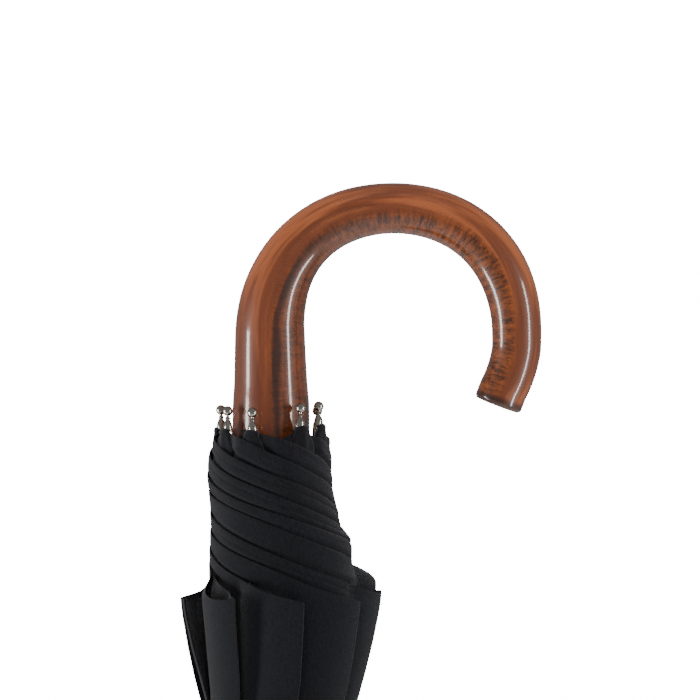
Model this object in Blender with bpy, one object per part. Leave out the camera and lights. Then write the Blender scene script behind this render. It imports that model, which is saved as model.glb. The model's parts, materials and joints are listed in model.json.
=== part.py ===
"""Stick umbrella with a wooden crook handle, furled, in metres.

+Z runs up the shaft from the ferrule tip, which rests on z = 0, to the crook.
The crook lies in the XZ plane and hooks over towards +X. The front faces -Y.
"""

import math

import bmesh
import bpy
from mathutils import Matrix, Vector

MM = 0.001

# Eight ribs, counted from the front towards +X. Furling has pushed some tips sideways.
RIB_AZIMUTHS = (-20, 25, 70, 115, 160, 205, 250, 295)
TIP_AZIMUTHS = (-20.5, 36, 69, 115, 160, 205, 260, 303)
TIP_STEP_BACK = (1.0, -0.7, -1.3, 0.6, 0, 1.2, 0.2, 0.5)
SECTOR = 45

# The linkage: rib and stretcher are equal arms, so the runner slides straight up the shaft.
PIVOT_RADIUS = 8 * MM
CROWN_Z = 108 * MM
ARM = 260 * MM
RIB_TO_BALL = 649 * MM
TIP_RADIUS = 19.9 * MM
LEAN = math.asin((TIP_RADIUS - PIVOT_RADIUS) / RIB_TO_BALL)
RUNNER_Z = CROWN_Z + 2 * ARM * math.cos(LEAN)

SHAFT_RADIUS = 5 * MM
SHAFT_BORE = 4.2 * MM
SHAFT_FOOT_Z = 36 * MM
SHAFT_TOP_Z = 744 * MM
SLIDE_BORE = 5.3 * MM
CATCH_AZIMUTH = 2.5
BOTTOM_SPRING_Z = 638 * MM
TOP_SPRING_Z = 326 * MM
STOP_COLLAR_Z = 261 * MM

HANDLE_FOOT_Z = 715 * MM
HANDLE_BORE_Z = 747 * MM
HANDLE_PIN_Z = 730 * MM
CROOK_CENTRE = (47.7 * MM, 787.3 * MM)
CROOK_RADIUS = 48.1 * MM
CROOK_END_LEAN = math.radians(21)

STRAP_Z = 500 * MM
STRAP_WIDTH = 18 * MM
STRAP_BORE = 21.9 * MM
STRAP_OUTSIDE = 22.9 * MM

# Colour, roughness and metallic value of what each piece is made of
FINISHES = {
    "varnished_wood": ((0.31, 0.13, 0.055), 0.3, 0.0),
    "plated_steel": ((0.48, 0.47, 0.45), 0.2, 1.0),
    "drawn_wire": ((0.32, 0.32, 0.33), 0.35, 1.0),
    "nickel": ((0.52, 0.49, 0.45), 0.15, 1.0),
    "black_lacquer": ((0.01, 0.01, 0.011), 0.3, 0.0),
    "black_moulding": ((0.012, 0.012, 0.013), 0.55, 0.0),
    "black_cloth": ((0.009, 0.009, 0.01), 0.85, 0.0),
}
SMOOTH_UP_TO = math.radians(35)


def clear_scene():
    for thing in list(bpy.data.objects):
        bpy.data.objects.remove(thing, do_unlink=True)


def polar(radius, azimuth, z):
    """A point at this radius, with the azimuth counted from -Y towards +X."""
    a = math.radians(azimuth)
    return Vector((radius * math.sin(a), -radius * math.cos(a), z))


def outward(azimuth):
    return polar(1, azimuth, 0)


def sideways(azimuth):
    return outward(azimuth + 90)


def mesh_object(name, points, faces):
    mesh = bpy.data.meshes.new(name)
    mesh.from_pydata([tuple(p) for p in points], [], faces)
    build = bmesh.new()
    build.from_mesh(mesh)
    bmesh.ops.recalc_face_normals(build, faces=build.faces)
    build.to_mesh(mesh)
    build.free()
    made = bpy.data.objects.new(name, mesh)
    bpy.context.scene.collection.objects.link(made)
    return made


def loft(name, rings, closed=False):
    """A solid through rings of equal count, capped at both ends unless it closes on itself."""
    count = len(rings[0])
    points = [p for ring in rings for p in ring]
    faces = []
    last = len(rings) if closed else len(rings) - 1
    for i in range(last):
        a, b = i * count, ((i + 1) % len(rings)) * count
        for j in range(count):
            k = (j + 1) % count
            faces.append((a + j, a + k, b + k, b + j))
    if not closed:
        faces.append(tuple(range(count)))
        faces.append(tuple(range((len(rings) - 1) * count, len(points))))
    return mesh_object(name, points, faces)


def turned(name, profile, steps=40):
    """A closed (radius, z) outline turned round the shaft. A radius of 0 makes one point."""
    points, faces, at = [], [], []
    for radius, z in profile:
        at.append((len(points), radius == 0))
        if radius == 0:
            points.append((0, 0, z))
        else:
            points.extend(polar(radius, 360 * i / steps, z) for i in range(steps))
    for n, (a, a_is_point) in enumerate(at):
        b, b_is_point = at[(n + 1) % len(at)]
        for i in range(steps):
            k = (i + 1) % steps
            if a_is_point and b_is_point:
                break
            if a_is_point:
                faces.append((a, b + k, b + i))
            elif b_is_point:
                faces.append((a + i, a + k, b))
            else:
                faces.append((a + i, a + k, b + k, b + i))
    return mesh_object(name, points, faces)


def circle(centre, u, v, radius, steps):
    return [
        centre
        + u * radius * math.cos(2 * math.pi * i / steps)
        + v * radius * math.sin(2 * math.pi * i / steps)
        for i in range(steps)
    ]


def rod(name, start, end, radius, steps=16):
    along = (end - start).normalized()
    u = along.orthogonal().normalized()
    v = along.cross(u)
    return loft(
        name, [circle(start, u, v, radius, steps), circle(end, u, v, radius, steps)]
    )


def block(name, origin, u, v, w, u_span, v_span, w_span):
    """A box with its sides along u, v and w, each span being (from, to)."""
    rings = []
    for a in u_span:
        rings.append(
            [
                origin + u * a + v * v_span[i] + w * w_span[j]
                for i, j in ((0, 0), (1, 0), (1, 1), (0, 1))
            ]
        )
    return loft(name, rings)


def plate(name, origin, u, v, w, outline, w_span):
    """An outline in u and v, w_span thick."""
    return loft(
        name, [[origin + u * a + v * b + w * c for a, b in outline] for c in w_span]
    )


def combine(target, other, operation):
    """Joins or cuts with a Boolean, then keeps only the result."""
    step = target.modifiers.new(other.name, "BOOLEAN")
    step.operation = operation
    step.solver = "EXACT"
    step.object = other
    bpy.context.view_layer.update()
    graph = bpy.context.evaluated_depsgraph_get()
    made = bpy.data.meshes.new_from_object(target.evaluated_get(graph))
    target.modifiers.clear()
    target.data = made
    bpy.data.objects.remove(other, do_unlink=True)
    return target


def cut(target, *others):
    for other in others:
        combine(target, other, "DIFFERENCE")
    return target


def join(target, *others):
    for other in others:
        combine(target, other, "UNION")
    return target


def between(value, stops):
    """The value of a polyline of (position, value) stops."""
    if value <= stops[0][0]:
        return stops[0][1]
    for (a, x), (b, y) in zip(stops, stops[1:]):
        if value <= b:
            return x + (y - x) * (value - a) / (b - a)
    return stops[-1][1]


# Handle


def crook_path():
    """(point, radius) stations from the foot, over the bend, to the hanging end."""
    cx, cz = CROOK_CENTRE
    stations = [
        ((0, HANDLE_FOOT_Z), 14.4),
        ((0, HANDLE_FOOT_Z + 0.8 * MM), 15.0),
        ((0, 735 * MM), 15.1),
        ((0, 757 * MM), 15.0),
        ((-0.2 * MM, 768 * MM), 14.3),
        ((-0.4 * MM, 778 * MM), 13.9),
    ]
    girth = (
        (-28, 9.5),
        (0, 9.7),
        (30, 10.1),
        (60, 10.0),
        (90, 9.9),
        (110, 10.2),
        (130, 10.8),
        (150, 11.9),
        (165, 12.9),
        (180, 13.6),
    )
    for angle in range(180, -29, -8):
        a = math.radians(angle)
        bulge = 1.0 * MM * math.sin(2 * a) ** 2 if angle > 0 else 0.4 * MM
        reach = CROOK_RADIUS + bulge
        point = (cx + reach * math.cos(a), cz + reach * math.sin(a))
        stations.append((point, between(angle, girth)))
    x, z = stations[-1][0]
    for step, radius in ((2.4, 9.5), (4.6, 9.3), (5.7, 8.9), (6.3, 8.0), (6.5, 6.8)):
        dx = step * MM * math.sin(CROOK_END_LEAN)
        dz = step * MM * math.cos(CROOK_END_LEAN)
        stations.append(((x - dx, z - dz), radius))
    return [(Vector((x, 0, z)), radius * MM) for (x, z), radius in stations]


def cross_rod(name, reach, z, radius, steps=16):
    """A rod from front to back through the shaft's axis."""
    return rod(name, Vector((0, -reach, z)), Vector((0, reach, z)), radius, steps)


def make_handle():
    path = crook_path()
    rings = []
    for i, (point, radius) in enumerate(path):
        before = path[max(i - 1, 0)][0]
        after = path[min(i + 1, len(path) - 1)][0]
        along = (after - before).normalized()
        side = Vector((0, 1, 0))
        rings.append(circle(point, along.cross(side), side, radius, 28))
    handle = loft("handle", rings)
    bore = rod(
        "bore",
        Vector((0, 0, HANDLE_FOOT_Z - 5 * MM)),
        Vector((0, 0, HANDLE_BORE_Z)),
        SLIDE_BORE,
        32,
    )
    cut(handle, bore, cross_rod("pin_hole", 20 * MM, HANDLE_PIN_Z, 1.3 * MM))
    cross_rod("handle_pin", 14 * MM, HANDLE_PIN_Z, 1.0 * MM, 12)


# Shaft and what is fixed to it


def window(name, z_from, z_to, r_from=3.6, r_to=6, width=2.4):
    return block(
        name,
        Vector((0, 0, 0)),
        Vector((0, 0, 1)),
        outward(CATCH_AZIMUTH),
        sideways(CATCH_AZIMUTH),
        (z_from, z_to),
        (r_from * MM, r_to * MM),
        (-width / 2 * MM, width / 2 * MM),
    )


def make_catch(name, foot_z):
    """A bent leaf inside the shaft whose nose stands out through a window."""
    outline = [
        (foot_z, 2.2),
        (foot_z + 2 * MM, 2.2),
        (foot_z + 3 * MM, 3.0),
        (foot_z + 30 * MM, 3.0),
        (foot_z + 30 * MM, 3.7),
        (foot_z + 28.5 * MM, 3.7),
        (foot_z + 27.5 * MM, 6.2),
        (foot_z + 26.5 * MM, 6.2),
        (foot_z + 19.5 * MM, 3.7),
        (foot_z, 3.7),
    ]
    plate(
        name,
        Vector((0, 0, 0)),
        Vector((0, 0, 1)),
        outward(CATCH_AZIMUTH),
        sideways(CATCH_AZIMUTH),
        [(z, r * MM) for z, r in outline],
        (-0.8 * MM, 0.8 * MM),
    )
    return window(name + "_window", foot_z + 17 * MM, foot_z + 31.5 * MM)


def make_shaft():
    shaft = turned(
        "shaft",
        [
            (SHAFT_BORE, SHAFT_FOOT_Z),
            (SHAFT_RADIUS, SHAFT_FOOT_Z),
            (SHAFT_RADIUS, SHAFT_TOP_Z),
            (SHAFT_BORE, SHAFT_TOP_Z),
        ],
        32,
    )
    cut(
        shaft,
        make_catch("bottom_spring", BOTTOM_SPRING_Z),
        make_catch("top_spring", TOP_SPRING_Z),
        cross_rod("pin_hole", 9 * MM, HANDLE_PIN_Z, 1.3 * MM),
    )
    turned(
        "stop_collar",
        [
            (SLIDE_BORE, STOP_COLLAR_Z - 3 * MM),
            (6.3 * MM, STOP_COLLAR_Z - 2.4 * MM),
            (6.3 * MM, STOP_COLLAR_Z + 2.4 * MM),
            (SLIDE_BORE, STOP_COLLAR_Z + 3 * MM),
        ],
    )


def make_ferrule():
    turned(
        "ferrule_tip",
        [
            (0, 0),
            (5.2 * MM, 0),
            (6.0 * MM, 0.8 * MM),
            (7.4 * MM, 16 * MM),
            (7.4 * MM, 27 * MM),
            (7.0 * MM, 28 * MM),
            (6.5 * MM, 28 * MM),
            (6.5 * MM, 9 * MM),
            (0, 9 * MM),
        ],
    )
    turned(
        "ferrule_tube",
        [
            (SLIDE_BORE, 9.3 * MM),
            (6.2 * MM, 9.3 * MM),
            (6.2 * MM, 98.5 * MM),
            (SLIDE_BORE, 98.5 * MM),
        ],
    )
    turned(
        "open_cap",
        [
            (6.5 * MM, 80 * MM),
            (7.4 * MM, 80 * MM),
            (8.0 * MM, 86 * MM),
            (10.4 * MM, 93 * MM),
            (12.0 * MM, 95.6 * MM),
            (11.4 * MM, 96.4 * MM),
            (9.6 * MM, 94.2 * MM),
            (7.0 * MM, 89 * MM),
            (6.5 * MM, 88 * MM),
        ],
    )
    turned(
        "rosette",
        [
            (SLIDE_BORE, 99.4 * MM),
            (9.0 * MM, 99.4 * MM),
            (9.0 * MM, 100.4 * MM),
            (SLIDE_BORE, 100.4 * MM),
        ],
    )


def slots(pivot_z, up):
    """The eight cuts that the rib or stretcher tongues swing in, and the wire's groove."""
    made = [
        block(
            f"slot_{i}",
            Vector((0, 0, pivot_z)),
            Vector((0, 0, up)),
            outward(azimuth),
            sideways(azimuth),
            (-2.3 * MM, 15 * MM),
            (6.1 * MM, 14 * MM),
            (-0.9 * MM, 0.9 * MM),
        )
        for i, azimuth in enumerate(RIB_AZIMUTHS)
    ]
    low, high = pivot_z - up * 0.8 * MM, pivot_z + up * 15 * MM
    made.append(
        turned("groove", [(7.2 * MM, low), (8.8 * MM, low), (8.8 * MM, high), (7.2 * MM, high)])
    )
    return made


def make_crown():
    crown = turned(
        "crown",
        [
            (SLIDE_BORE, 102 * MM),
            (9.4 * MM, 102 * MM),
            (10 * MM, 102.6 * MM),
            (10 * MM, 112 * MM),
            (9.6 * MM, 112.4 * MM),
            (SLIDE_BORE, 112.4 * MM),
        ],
        48,
    )
    cut(crown, *slots(CROWN_Z, 1))
    make_wire("crown_wire", CROWN_Z)


def make_wire(name, z):
    rings = []
    for i in range(48):
        azimuth = 360 * i / 48
        rings.append(
            circle(
                polar(PIVOT_RADIUS, azimuth, z),
                outward(azimuth),
                Vector((0, 0, 1)),
                0.4 * MM,
                8,
            )
        )
    loft(name, rings, closed=True)


def make_runner():
    z = RUNNER_Z
    runner = turned(
        "runner",
        [
            (SLIDE_BORE, z - 4.4 * MM),
            (9.6 * MM, z - 4.4 * MM),
            (10 * MM, z - 4 * MM),
            (10 * MM, z + 5.5 * MM),
            (9.2 * MM, z + 7.5 * MM),
            (7.8 * MM, z + 10 * MM),
            (7.8 * MM, z + 68 * MM),
            (9.4 * MM, z + 71 * MM),
            (9.4 * MM, z + 74 * MM),
            (SLIDE_BORE, z + 74 * MM),
        ],
        48,
    )
    keyway = window("keyway", z - 10 * MM, z + 80 * MM, 4.5, 6.5)
    nose_from, nose_to = BOTTOM_SPRING_Z + 18 * MM, BOTTOM_SPRING_Z + 31 * MM
    opening = window("opening", nose_from, nose_to, 4.9, 12, 3.2)
    cut(runner, keyway, opening, *slots(z, -1))
    make_wire("runner_wire", z)


# Ribs and stretchers


def channel(half_width, wall, low, high, web_low, web_high, opens_up):
    """The eight corners of a U section in (sideways, outward), in millimetres."""
    w, i = half_width, half_width - wall
    if opens_up:
        return [
            (-w, low),
            (w, low),
            (w, high),
            (i, high),
            (i, web_high),
            (-i, web_high),
            (-i, high),
            (-w, high),
        ]
    return [
        (-w, high),
        (-w, low),
        (-i, low),
        (-i, web_low),
        (i, web_low),
        (i, low),
        (w, low),
        (w, high),
    ]


def half_round(radius, start):
    """Nine points of a half circle, from this angle in degrees."""
    turns = [math.radians(start + 180 * i / 8) for i in range(9)]
    return [(radius * math.cos(a), radius * math.sin(a)) for a in turns]


class RibFrame:
    """Places things along one rib: s from the crown pivot, n outwards from it, t sideways."""

    def __init__(self, index):
        self.azimuth = RIB_AZIMUTHS[index]
        self.out = outward(self.azimuth)
        self.side = sideways(self.azimuth)
        self.pivot = polar(PIVOT_RADIUS, self.azimuth, CROWN_Z)
        up = Vector((0, 0, 1))
        self.along = up * math.cos(LEAN) + self.out * math.sin(LEAN)
        self.normal = self.out * math.cos(LEAN) - up * math.sin(LEAN)
        straight_tip = self.pivot + self.along * RIB_TO_BALL
        wanted = polar(TIP_RADIUS, TIP_AZIMUTHS[index], straight_tip.z)
        self.bend = wanted - straight_tip
        self.length = RIB_TO_BALL - TIP_STEP_BACK[index] * MM

    def centre(self, s):
        share = max(0.0, (s - 0.3) / (RIB_TO_BALL - 0.3))
        return self.pivot + self.along * s + self.bend * share**2

    def place(self, s, n, t):
        return self.centre(s) + self.normal * n + self.side * t


def make_rib(index):
    frame = RibFrame(index)
    end = frame.length - 8.5 * MM
    section = channel(1.3, 0.45, -1.3, 1.3, 0.85, 0, False)
    stations = [6.5 * MM, 0.3, 0.4, 0.48, 0.54, 0.59, end - 14 * MM, end]
    rib = loft(
        f"rib_{index + 1}",
        [[frame.place(s, n * MM, t * MM) for t, n in section] for s in stations],
    )
    tongue = plate(
        "tongue",
        frame.pivot,
        frame.along,
        frame.normal,
        frame.side,
        [*half_round(1.6 * MM, 90), (9 * MM, -1.1 * MM), (9 * MM, 1.1 * MM)],
        (-0.5 * MM, 0.5 * MM),
    )
    join(rib, tongue)
    for s, radius in ((0, 0.75), (ARM, 0.8)):
        spot = frame.pivot + frame.along * s
        hole = rod(
            "hole", spot - frame.side * 4 * MM, spot + frame.side * 4 * MM, radius * MM, 12
        )
        cut(rib, hole)
    make_rib_tip(index, frame)


def make_rib_tip(index, frame):
    """A ball on a neck, whose two legs straddle the end of the rib."""
    ball = frame.length
    stations = [
        (ball + 1.66 * MM, 0.35),
        (ball + 1.45 * MM, 0.9),
        (ball + 1.0 * MM, 1.37),
        (ball + 0.4 * MM, 1.65),
        (ball - 0.2 * MM, 1.69),
        (ball - 0.8 * MM, 1.5),
        (ball - 1.3 * MM, 1.09),
        (ball - 1.6 * MM, 0.8),
        (ball - 3.2 * MM, 0.78),
        (ball - 4.0 * MM, 1.25),
        (ball - 5.0 * MM, 1.85),
        (ball - 7.8 * MM, 2.1),
    ]
    tip = loft(
        f"rib_tip_{index + 1}",
        [
            circle(frame.centre(s), frame.normal, frame.side, r * MM, 14)
            for s, r in stations
        ],
    )
    along = (frame.centre(ball) - frame.centre(ball - 20 * MM)).normalized()
    side = frame.normal.cross(along).normalized()
    legs = [
        block(
            "leg",
            frame.centre(ball),
            along,
            frame.normal,
            side,
            (-19 * MM, -6.2 * MM),
            (-1.1 * MM, 1.1 * MM),
            (way * 1.66 * MM, way * 2.2 * MM),
        )
        for way in (-1, 1)
    ]
    join(tip, *legs)


def make_stretcher(index):
    """Runs from its eye in the runner to a fork whose pin goes through the rib."""
    frame = RibFrame(index)
    up = Vector((0, 0, 1))
    start = polar(PIVOT_RADIUS, frame.azimuth, RUNNER_Z)
    joint = frame.pivot + frame.along * ARM
    along = (joint - start).normalized()
    normal = (frame.out - along * frame.out.dot(along)).normalized()
    side = frame.side
    narrow = channel(1.5, 0.5, -1.4, 0.9, 0, -0.9, True)
    wide = channel(2.3, 0.7, -2.2, 0.9, 0, -1.7, True)
    rings = [
        [start + along * d + normal * n * MM + side * t * MM for t, n in section]
        for d, section in (
            (6.5 * MM, narrow),
            (175 * MM, narrow),
            (190 * MM, wide),
            (254 * MM, wide),
        )
    ]
    stretcher = loft(f"stretcher_{index + 1}", rings)
    tongue = plate(
        "tongue",
        start,
        along,
        normal,
        side,
        [*half_round(1.6 * MM, 90), (9 * MM, -1.15 * MM), (9 * MM, 1.1 * MM)],
        (-0.5 * MM, 0.5 * MM),
    )
    join(stretcher, tongue)
    cheek_root = [(-5, 0.8), (-9, 0.8), (-9, -2.1), (-4.5, -2.1)]
    cheek = half_round(1.75 * MM, -90) + [(a * MM, b * MM) for a, b in cheek_root]
    for way in (-1, 1):
        walls = (way * 1.65 * MM, way * 2.25 * MM)
        join(stretcher, plate("cheek", joint, along, normal, side, cheek, walls))
    join(stretcher, rod("pin", joint - side * 2.1 * MM, joint + side * 2.1 * MM, 0.45 * MM, 10))
    hole = rod("hole", start - side * 4 * MM, start + side * 4 * MM, 0.75 * MM, 12)
    cut(stretcher, hole)


# Canopy: sixteen half gores, each the simple solid that its cloth fills when furled

BUNDLE = (
    (100.9, 11.4),
    (130, 12.6),
    (200, 15.0),
    (300, 17.6),
    (400, 19.6),
    (485, 20.8),
    (515, 20.8),
    (560, 24.2),
    (600, 27.6),
    (643, 31.0),
    (672, 35.0),
    (683, 36.0),
    (692, 31.0),
    (701, 26.4),
    (712, 25.2),
    (750, 24.4),
)


def rib_radius(z):
    return PIVOT_RADIUS + (z - CROWN_Z) * math.tan(LEAN)


def bundle_inside(z):
    """The cloth clears the ribs below, and the wider sockets of their tips above."""
    if z < 125 * MM:
        return 10.4 * MM
    return rib_radius(z) + between(z / MM, ((125, 1.9), (690, 1.9), (715, 2.7))) * MM


def make_half_gores():
    for index, azimuth in enumerate(RIB_AZIMUTHS):
        for part, first in (("a", azimuth), ("b", azimuth + SECTOR / 2)):
            rings = []
            for z, radius in BUNDLE:
                z, outer = z * MM, radius * MM
                inner = bundle_inside(z)
                mid = first + SECTOR / 4
                ring = []
                for reach, way in ((inner, 1), (outer, -1)):
                    spare = math.degrees(0.16 * MM / reach)
                    half = SECTOR / 4 - spare
                    flat = reach / math.cos(math.radians(half / 2)) if way < 0 else reach
                    for turn in (-1, 0, 1):
                        r = reach if turn else flat
                        ring.append(polar(r, mid + way * turn * half, z))
                rings.append(ring)
            loft(f"canopy_{index + 1}_{part}", rings)


def make_tie_strap():
    """The band that holds the cloth furled, and its press stud."""
    turned(
        "tie_strap",
        [
            (STRAP_BORE, STRAP_Z - STRAP_WIDTH / 2),
            (STRAP_OUTSIDE, STRAP_Z - STRAP_WIDTH / 2),
            (STRAP_OUTSIDE, STRAP_Z + STRAP_WIDTH / 2),
            (STRAP_BORE, STRAP_Z + STRAP_WIDTH / 2),
        ],
        48,
    )
    out = outward(CATCH_AZIMUTH)
    centre = Vector((0, 0, STRAP_Z))
    u, v = sideways(CATCH_AZIMUTH), Vector((0, 0, 1))
    loft(
        "strap_stud",
        [
            circle(centre + out * r * MM, u, v, radius * MM, 20)
            for r, radius in ((23.2, 5.0), (23.8, 5.0), (24.4, 4.2), (24.6, 2.6))
        ],
    )


# Finish, and where each moving piece turns or slides


def paint(finish, *names):
    """Gives these objects one material, and smooth shading where they are round."""
    colour, roughness, metallic = FINISHES[finish]
    material = bpy.data.materials.new(finish)
    material.use_nodes = True
    shader = material.node_tree.nodes["Principled BSDF"]
    shader.inputs["Base Color"].default_value = (*colour, 1)
    shader.inputs["Roughness"].default_value = roughness
    shader.inputs["Metallic"].default_value = metallic
    for name in names:
        mesh = bpy.data.objects[name].data
        mesh.materials.clear()
        mesh.materials.append(material)
        mesh.shade_smooth()
        mesh.set_sharp_from_angle(angle=SMOOTH_UP_TO)


def numbered(*words):
    return [f"{word}_{index + 1}" for word in words for index in range(len(RIB_AZIMUTHS))]


def paint_all():
    halves = [f"canopy_{index + 1}_{half}" for index in range(len(RIB_AZIMUTHS)) for half in "ab"]
    paint("varnished_wood", "handle")
    paint("plated_steel", "shaft", "handle_pin", "ferrule_tube", "ferrule_tip", "open_cap")
    paint("drawn_wire", "crown_wire", "runner_wire", "bottom_spring", "top_spring")
    paint("nickel", "strap_stud", *numbered("rib_tip"))
    paint("black_lacquer", *numbered("rib", "stretcher"))
    paint("black_moulding", "crown", "runner", "stop_collar")
    paint("black_cloth", "rosette", "tie_strap", *halves)


def hang(name, point, parent):
    """Puts an object's origin at this point, and hangs it on its parent."""
    thing = bpy.data.objects[name]
    thing.data.transform(Matrix.Translation(-point))
    thing.parent = parent
    thing.location = point - parent.location


def hang_all():
    """Every origin lies on its joint's axis. Each rib carries what is hinged or sewn to it."""
    body = bpy.data.objects.new("umbrella", None)
    bpy.context.scene.collection.objects.link(body)
    for name in ("handle", "handle_pin", "shaft", "stop_collar", "crown", "crown_wire"):
        hang(name, Vector((0, 0, 0)), body)
    for name in ("ferrule_tip", "ferrule_tube", "open_cap", "rosette"):
        hang(name, Vector((0, 0, 0)), body)
    for name in ("runner", "runner_wire"):
        hang(name, Vector((0, 0, RUNNER_Z)), body)
    hang("bottom_spring", Vector((0, 0, BOTTOM_SPRING_Z)), body)
    hang("top_spring", Vector((0, 0, TOP_SPRING_Z)), body)
    for index in range(len(RIB_AZIMUTHS)):
        frame = RibFrame(index)
        hang(f"rib_{index + 1}", frame.pivot, body)
        rib = bpy.data.objects[f"rib_{index + 1}"]
        hang(f"stretcher_{index + 1}", frame.pivot + frame.along * ARM, rib)
        hang(f"rib_tip_{index + 1}", frame.pivot, rib)
        hang(f"canopy_{index + 1}_a", frame.pivot, rib)
        before = (index - 1) % len(RIB_AZIMUTHS) + 1
        hang(f"canopy_{before}_b", frame.pivot, rib)
    for name in ("tie_strap", "strap_stud"):
        hang(name, RibFrame(0).pivot, bpy.data.objects["rib_1"])


def main():
    clear_scene()
    make_handle()
    make_shaft()
    make_ferrule()
    make_crown()
    make_runner()
    for index in range(len(RIB_AZIMUTHS)):
        make_rib(index)
        make_stretcher(index)
    make_half_gores()
    make_tie_strap()
    paint_all()
    hang_all()


main()
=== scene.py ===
"""Looks of the furled stick umbrella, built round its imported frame, in metres.

The cloth is worked out in millimetres and degrees. Azimuths count from -Y towards +X.
"""

import json
import math
from collections import namedtuple

import bmesh
import bpy
import numpy as np
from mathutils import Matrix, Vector


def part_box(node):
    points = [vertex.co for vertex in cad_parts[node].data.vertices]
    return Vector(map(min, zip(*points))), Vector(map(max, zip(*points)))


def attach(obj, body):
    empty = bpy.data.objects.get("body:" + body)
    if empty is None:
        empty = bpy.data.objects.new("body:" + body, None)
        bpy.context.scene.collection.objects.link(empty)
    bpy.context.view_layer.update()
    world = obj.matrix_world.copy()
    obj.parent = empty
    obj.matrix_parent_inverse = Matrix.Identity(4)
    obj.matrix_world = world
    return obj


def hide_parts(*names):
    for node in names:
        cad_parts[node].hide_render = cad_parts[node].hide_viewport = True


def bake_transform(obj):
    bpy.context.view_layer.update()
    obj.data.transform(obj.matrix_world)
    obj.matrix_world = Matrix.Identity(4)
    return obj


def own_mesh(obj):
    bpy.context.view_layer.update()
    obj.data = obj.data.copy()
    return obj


MM = 0.001
RIBS = 8
SECTOR = 360 / RIBS
RIB_LEAN = math.radians(1.05)

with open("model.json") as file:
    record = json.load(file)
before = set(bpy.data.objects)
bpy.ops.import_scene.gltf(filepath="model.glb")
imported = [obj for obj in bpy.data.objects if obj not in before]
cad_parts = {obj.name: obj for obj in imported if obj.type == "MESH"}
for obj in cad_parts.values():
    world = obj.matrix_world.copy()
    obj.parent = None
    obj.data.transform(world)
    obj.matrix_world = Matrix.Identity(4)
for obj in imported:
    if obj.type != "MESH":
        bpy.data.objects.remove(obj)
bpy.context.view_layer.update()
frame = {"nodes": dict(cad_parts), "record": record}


# Small tools


def linear(red, green, blue):
    """A colour given as 0-255 display values."""
    return tuple(((v / 255 + 0.055) / 1.055) ** 2.4 if v > 10 else v / 255 / 12.92
                 for v in (red, green, blue)) + (1.0,)


def smooth(value):
    value = np.clip(value, 0.0, 1.0)
    return value * value * (3 - 2 * value)


def curve_through(*stops):
    """A smooth curve through (position, value) stops that never overshoots them."""
    x, y = np.array(stops, float).T
    width = np.diff(x)
    rise = np.diff(y) / width
    slope = np.concatenate([rise[:1], np.zeros(len(x) - 2), rise[-1:]])
    for i in range(1, len(x) - 1):
        if rise[i - 1] * rise[i] > 0:
            slope[i] = 2 * rise[i - 1] * rise[i] / (rise[i - 1] + rise[i])

    def at(value):
        value = np.clip(value, x[0], x[-1])
        i = np.clip(np.searchsorted(x, value) - 1, 0, len(x) - 2)
        t = (value - x[i]) / width[i]
        return (
            y[i] * (1 + 2 * t) * (1 - t) ** 2
            + width[i] * slope[i] * t * (1 - t) ** 2
            + y[i + 1] * t * t * (3 - 2 * t)
            + width[i] * slope[i + 1] * t * t * (t - 1)
        )

    return at


def outward(azimuth):
    a = math.radians(azimuth)
    return Vector((math.sin(a), -math.cos(a), 0))


def from_polar(radius, azimuth, z):
    """Millimetre arrays of radius and z, and degrees, as points in metres."""
    a = np.radians(azimuth)
    return np.stack([radius * np.sin(a), -radius * np.cos(a), z + 0 * a], -1) * MM


def new_object(name, points, faces, sharp=40):
    mesh = bpy.data.meshes.new(name)
    mesh.from_pydata([tuple(p) for p in points], [], faces)
    mesh.update()
    build = bmesh.new()
    build.from_mesh(mesh)
    bmesh.ops.recalc_face_normals(build, faces=build.faces)
    build.to_mesh(mesh)
    build.free()
    mesh.shade_smooth()
    if sharp:
        mesh.set_sharp_from_angle(angle=math.radians(sharp))
    made = bpy.data.objects.new(name, mesh)
    bpy.context.scene.collection.objects.link(made)
    return made


def tube_faces(rings, count, capped=True):
    faces = []
    for i in range(rings - 1):
        for j in range(count):
            k = (j + 1) % count
            faces.append((i * count + j, i * count + k, (i + 1) * count + k, (i + 1) * count + j))
    if capped:
        faces.append(tuple(range(count)))
        faces.append(tuple(range((rings - 1) * count, rings * count)))
    return faces


def grid_faces(rows, columns):
    return [
        (i * columns + j, i * columns + j + 1, (i + 1) * columns + j + 1, (i + 1) * columns + j)
        for i in range(rows - 1)
        for j in range(columns - 1)
    ]


def put_vectors(obj, name, values):
    layer = obj.data.attributes.new(name, "FLOAT_VECTOR", "POINT")
    layer.data.foreach_set("vector", np.asarray(values, np.float32).ravel())


def turned(name, profile, steps=96):
    """A closed (radius, z) outline in millimetres turned round the shaft."""
    turn = np.arange(steps) * 360 / steps
    rings = [from_polar(np.full(steps, max(r, 0.01)), turn, z) for r, z in profile]
    faces = tube_faces(len(profile), steps, capped=False)
    last = (len(profile) - 1) * steps
    faces += [(last + j, last + (j + 1) % steps, (j + 1) % steps, j) for j in range(steps)]
    return new_object(name, np.concatenate(rings), faces)


# Materials


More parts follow.
